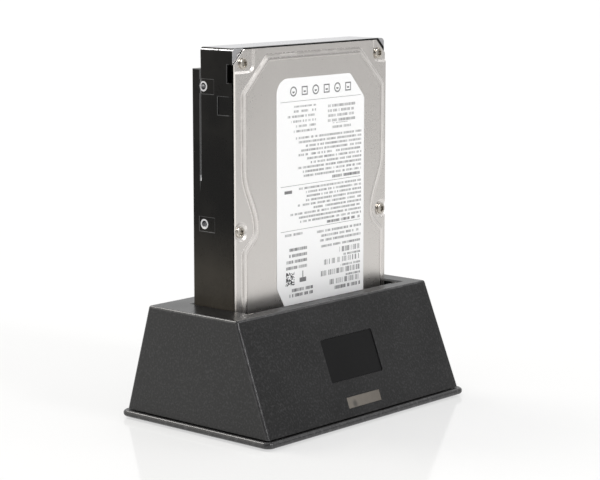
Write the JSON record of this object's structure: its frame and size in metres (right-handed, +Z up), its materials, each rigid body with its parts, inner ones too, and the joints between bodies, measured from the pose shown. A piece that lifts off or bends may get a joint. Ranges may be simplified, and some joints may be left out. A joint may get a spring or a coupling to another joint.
{
  "type": "hard drive docking station",
  "caption": "Wedge-shaped dock with a sprung slot door, rear ports and a light window, holding a lift-out 3.5 inch hard drive.",
  "frame": {"origin": "middle of the base flange, on the table under the rubber feet", "axes": "+X to the right seen from the front, +Y to the back with the ports, +Z up along the drive"},
  "size_m": [0.136, 0.09, 0.1652],
  "materials": {
    "shell_plastic": "fine-grained moulded black plastic",
    "slot_plastic": "smooth moulded black plastic",
    "foot_rubber": "soft black rubber",
    "badge_plastic": "smooth satin black plate, left blank",
    "window_plastic": "smoked translucent light pipe",
    "screw_steel": "zinc-plated steel",
    "circuit_board": "green solder mask",
    "chip_plastic": "black epoxy",
    "connector_plastic": "black moulded connector plastic",
    "contact_gold": "gold-plated contacts",
    "can_metal": "bright metal cans",
    "led_lens": "clear tinted lens",
    "socket_metal": "plated socket shell",
    "tongue_plastic": "white moulded plastic",
    "casting": "cast aluminium with black coating",
    "gasket_rubber": "black foam gasket",
    "cover_steel": "satin stamped steel",
    "drive_screw_steel": "plated steel",
    "label_paper": "white paper label with plain bars in place of print",
    "motor_metal": "machined aluminium",
    "platter_mirror": "mirror-polished disc",
    "coil_copper": "enamelled copper wire",
    "head_steel": "spring steel",
    "magnet_metal": "nickel-plated"
  },
  "bodies": {
    "dock": {"upper_shell": "shell_plastic", "base_plate": "shell_plastic", "rubber_feet": "foot_rubber", "base_screws": "screw_steel", "badge_plate": "badge_plastic", "status_window": "window_plastic", "drive_cradle": "slot_plastic", "cradle_screws": "screw_steel", "flap_pin": "screw_steel", "flap_springs": "screw_steel", "main_board": "circuit_board", "board_screws": "screw_steel", "sata_receptacle": "connector_plastic", "sata_contacts": "contact_gold", "bridge_chip": "chip_plastic", "flash_chip": "chip_plastic", "crystal": "can_metal", "capacitors": "can_metal", "inductor": "chip_plastic", "status_led": "led_lens", "usb_socket": "socket_metal", "usb_tongue": "tongue_plastic", "dc_jack": "connector_plastic", "dc_pin": "contact_gold", "switch_body": "connector_plastic"},
    "flap": {"flap_door": "slot_plastic"},
    "rocker": {"switch_rocker": "connector_plastic"},
    "drive": {"drive_base": "casting", "drive_gasket": "gasket_rubber", "drive_cover": "cover_steel", "cover_screws": "drive_screw_steel", "drive_label": "label_paper", "drive_board": "circuit_board", "drive_board_screws": "drive_screw_steel", "drive_chips": "chip_plastic", "drive_plug": "connector_plastic", "drive_plug_contacts": "contact_gold", "spindle_motor": "motor_metal", "pivot_post": "motor_metal", "magnet_yokes": "magnet_metal", "magnets": "magnet_metal", "park_ramp": "tongue_plastic"},
    "spindle": {"spindle_hub": "motor_metal", "platters": "platter_mirror", "platter_spacer": "motor_metal", "platter_clamp": "motor_metal", "clamp_screws": "drive_screw_steel"},
    "actuator": {"actuator_arm": "motor_metal", "voice_coil": "coil_copper", "head_sliders": "head_steel"}
  },
  "joints": [
    {"name": "drive_slide", "type": "slide", "parent": "dock", "child": "drive", "axis": [0, 0, 1], "range_m": [0, 0.1]},
    {"name": "flap_hinge", "type": "hinge", "parent": "dock", "child": "flap", "pos_m": [0.0029, -0.0148, 0.0499], "axis": [1, 0, 0], "range_deg": [0, 90]},
    {"name": "rocker_tilt", "type": "hinge", "parent": "dock", "child": "rocker", "pos_m": [0.02, 0.034, 0.0155], "axis": [0, 0, 1], "range_deg": [0, 16]},
    {"name": "spindle_spin", "type": "hinge", "parent": "drive", "child": "spindle", "pos_m": [0.0029, 0, 0.1144], "axis": [0, 1, 0], "continuous": true},
    {"name": "actuator_swing", "type": "hinge", "parent": "drive", "child": "actuator", "pos_m": [0.0241, 0, 0.0582], "axis": [0, 1, 0], "range_deg": [0, 34]}
  ],
  "couplings": [
    {"joint": "flap_hinge", "follows": "drive_slide", "rad_per_m": 15.7}
  ]
}
